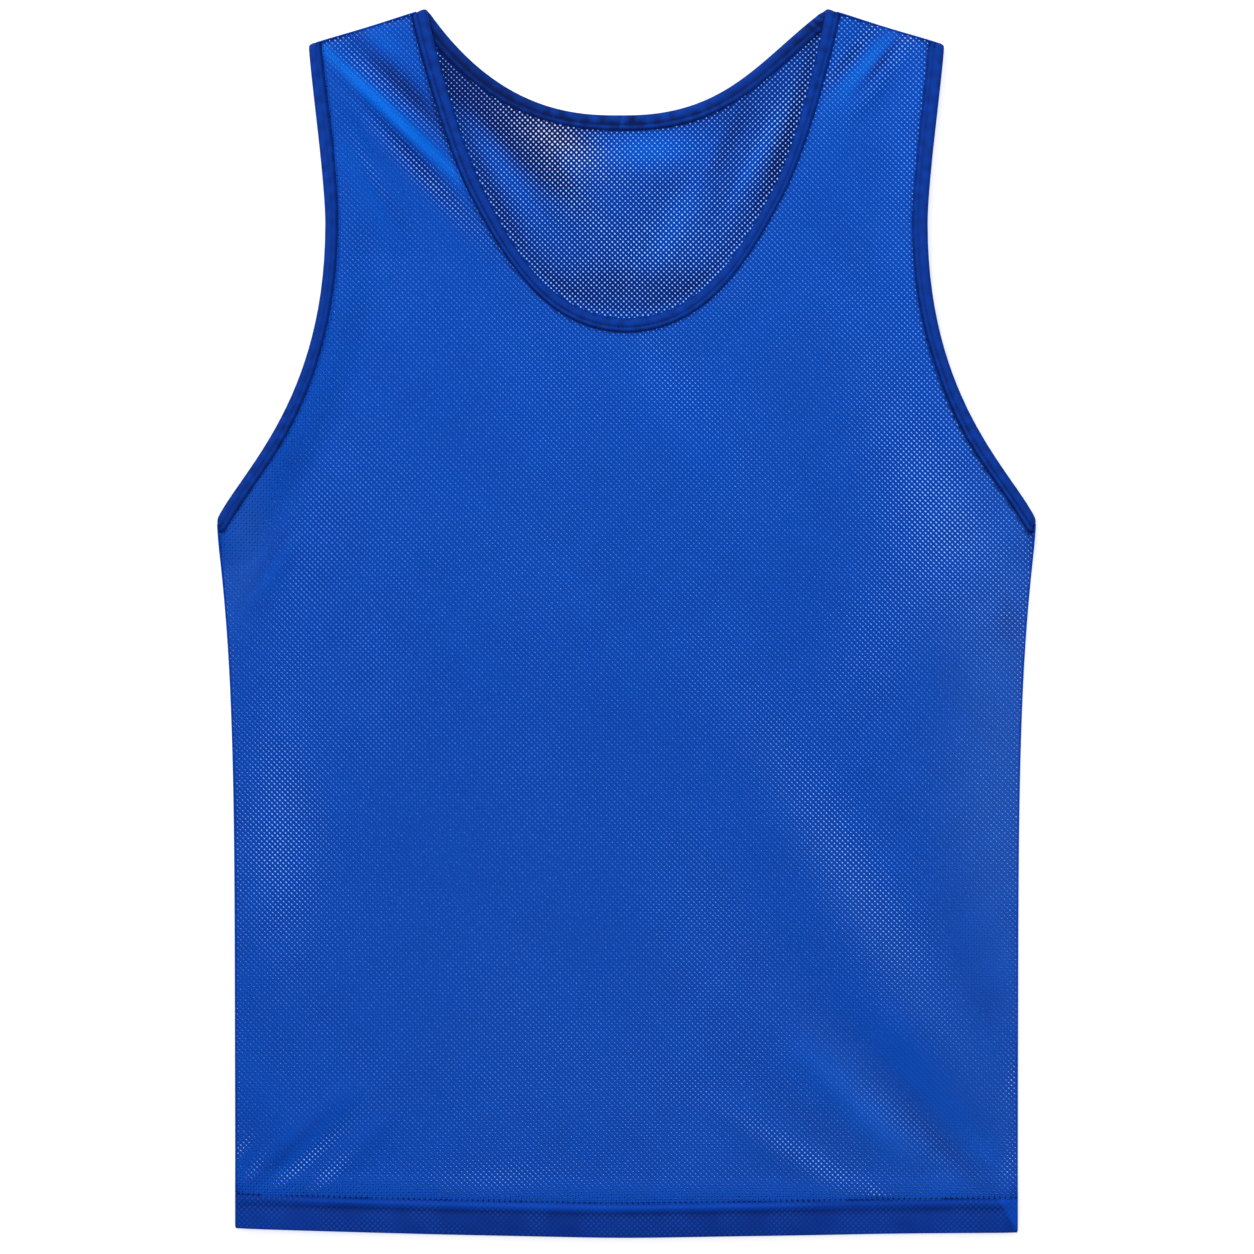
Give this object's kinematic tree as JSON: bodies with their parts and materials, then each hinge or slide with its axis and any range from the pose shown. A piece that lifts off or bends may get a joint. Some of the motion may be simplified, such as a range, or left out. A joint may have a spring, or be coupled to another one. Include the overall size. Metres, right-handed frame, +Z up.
{
  "type": "mesh training vest",
  "caption": "Sleeveless mesh training vest laid flat on its back, with a scoop neck, bound neck and armholes, and turned hems",
  "frame": {"origin": "on the table under the middle of the laid vest's outline", "axes": "+X across the vest towards the wearer's left side, which is the viewer's right; +Y from hem to neck; +Z up off the table, out of the chest"},
  "size_m": [0.4682, 0.6999, 0.0077],
  "materials": {
    "eyelet_mesh": "royal blue warp-knit polyester eyelet mesh, satin sheen",
    "tricot_binding": "darker blue polyester tricot strip, folded and stitched twice"
  },
  "bodies": {
    "root": {"front_panel": "eyelet_mesh", "back_panel": "eyelet_mesh", "neck_binding": "tricot_binding", "armhole_binding_left": "tricot_binding", "armhole_binding_right": "tricot_binding"}
  },
  "joints": []
}
